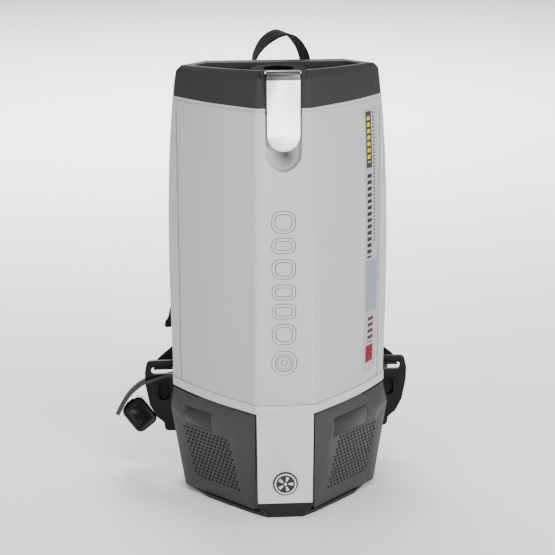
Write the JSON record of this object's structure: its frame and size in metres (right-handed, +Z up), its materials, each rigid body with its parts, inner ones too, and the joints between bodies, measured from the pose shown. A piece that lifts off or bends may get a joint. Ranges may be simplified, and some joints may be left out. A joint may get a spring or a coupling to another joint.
{
  "type": "backpack vacuum cleaner",
  "caption": "Backpack vacuum with a faceted grey canister, dark cap with swivel hose cuff and steel latch, perforated exhaust covers and a shoulder and waist harness.",
  "frame": {"origin": "centre of the flat underside of the base", "axes": "+Z up, -Y towards the front panel, +Y towards the wearer, +X to the right when the front is faced"},
  "size_m": [0.3921, 0.304, 0.5897],
  "materials": {
    "canister_grey": "fine moulded texture, light grey",
    "housing_grey": "fine moulded texture, lighter grey",
    "base_black": "moulded, near black",
    "cover_grey": "fine moulded texture, dark grey",
    "cap_black": "satin moulded, dark grey",
    "cuff_black": "satin, near black",
    "satin_steel": "bright satin",
    "zinc": "zinc plated",
    "rubber": "soft black rubber",
    "badge_black": "glossy black",
    "harness_black": "moulded, black",
    "fabric_black": "black woven nylon",
    "webbing": "black ribbed webbing",
    "filter_white": "non-woven filter medium",
    "paper": "filter paper",
    "copper": "copper",
    "motor_steel": "plain steel",
    "aluminium": "pressed aluminium",
    "carbon": "carbon"
  },
  "bodies": {
    "pack": {"canister": "canister_grey", "motor_housing": "housing_grey", "base_plate": "base_black", "base_screws": "zinc", "housing_gasket": "rubber", "front_badge": "badge_black", "cord_gland": "rubber", "field_core": "motor_steel", "motor_frame": "aluminium", "motor_bearings": "zinc", "carbon_brushes": "carbon", "motor_bush": "rubber", "fan_housing": "aluminium", "motor_gasket": "rubber", "motor_bulkhead": "base_black", "dome_filter": "filter_white", "cloth_filter": "filter_white", "filter_bag": "paper", "bag_collar": "paper", "exhaust_filter_right": "filter_white", "exhaust_filter_left": "filter_white", "latch_keeper": "satin_steel", "backplate": "harness_black", "backplate_screws": "zinc", "back_pad": "fabric_black", "lumbar_pad": "fabric_black", "strap_bracket": "harness_black", "strap_pin": "zinc", "shoulder_pad_right": "fabric_black", "shoulder_pad_left": "fabric_black", "lower_webbing_right": "webbing", "lower_webbing_left": "webbing", "ladder_lock_right": "harness_black", "ladder_lock_left": "harness_black"},
    "armature": {"armature_shaft": "zinc", "armature_core": "motor_steel", "commutator": "copper", "impeller": "aluminium"},
    "cap": {"cap_shell": "cap_black", "cap_gasket": "rubber", "latch_bracket": "cap_black", "latch_pin": "zinc"},
    "cuff": {"swivel_cuff": "cuff_black", "cuff_ring": "cuff_black"},
    "latch": {"latch_lever": "satin_steel"},
    "cover_right": {"exhaust_cover_right": "cover_grey"},
    "cover_left": {"exhaust_cover_left": "cover_grey"},
    "tab_right": {"release_tab_right": "cover_grey"},
    "tab_left": {"release_tab_left": "cover_grey"},
    "carry_strap": {"carry_strap": "webbing"},
    "belt_left": {"waist_belt_left": "fabric_black", "switch_box": "harness_black"},
    "rocker": {"rocker_switch": "badge_black"},
    "belt_right": {"waist_belt_right": "fabric_black", "buckle_socket": "harness_black"}
  },
  "joints": [
    {"name": "armature_spin", "type": "hinge", "parent": "pack", "child": "armature", "pos_m": [0, -0.012, 0.08], "axis": [0, 0, 1], "continuous": true},
    {"name": "cap_lift", "type": "slide", "parent": "pack", "child": "cap", "axis": [0, 0, 1], "range_m": [0, 0.1]},
    {"name": "cuff_swivel", "type": "hinge", "parent": "cap", "child": "cuff", "pos_m": [0, -0.022, 0.53], "axis": [0, 0, 1], "continuous": true},
    {"name": "latch_swing", "type": "hinge", "parent": "cap", "child": "latch", "pos_m": [0, -0.103, 0.5615], "axis": [-1, 0, 0], "range_deg": [0, 65]},
    {"name": "cover_right_swing", "type": "hinge", "parent": "pack", "child": "cover_right", "pos_m": [0.073, -0.06197, 0.0104], "axis": [0.6724, 0.7402, 0], "range_deg": [0, 60]},
    {"name": "cover_left_swing", "type": "hinge", "parent": "pack", "child": "cover_left", "pos_m": [-0.073, -0.06197, 0.0104], "axis": [0.6724, -0.7402, 0], "range_deg": [0, 60]},
    {"name": "tab_right_press", "type": "slide", "parent": "cover_right", "child": "tab_right", "axis": [-0.7319, 0.6648, 0.1493], "range_m": [0, 0.002], "stiffness_N_per_m": 600},
    {"name": "tab_left_press", "type": "slide", "parent": "cover_left", "child": "tab_left", "axis": [0.7319, 0.6648, 0.1493], "range_m": [0, 0.002], "stiffness_N_per_m": 600},
    {"name": "carry_strap_fold", "type": "hinge", "parent": "pack", "child": "carry_strap", "pos_m": [0, 0.076, 0.533], "axis": [1, 0, 0], "range_deg": [-80, 0]},
    {"name": "belt_left_droop", "type": "hinge", "parent": "pack", "child": "belt_left", "pos_m": [-0.137, 0.101, 0.124], "axis": [0, 1, 0], "range_deg": [-20, 20]},
    {"name": "rocker_tip", "type": "hinge", "parent": "belt_left", "child": "rocker", "pos_m": [-0.184, 0.08267, 0.07398], "axis": [0.788, 0.1614, 0.5941], "range_deg": [0, 12]},
    {"name": "belt_right_swing", "type": "hinge", "parent": "pack", "child": "belt_right", "pos_m": [0.128, 0.1, 0.105], "axis": [0, 0, 1], "range_deg": [-25, 25]}
  ]
}
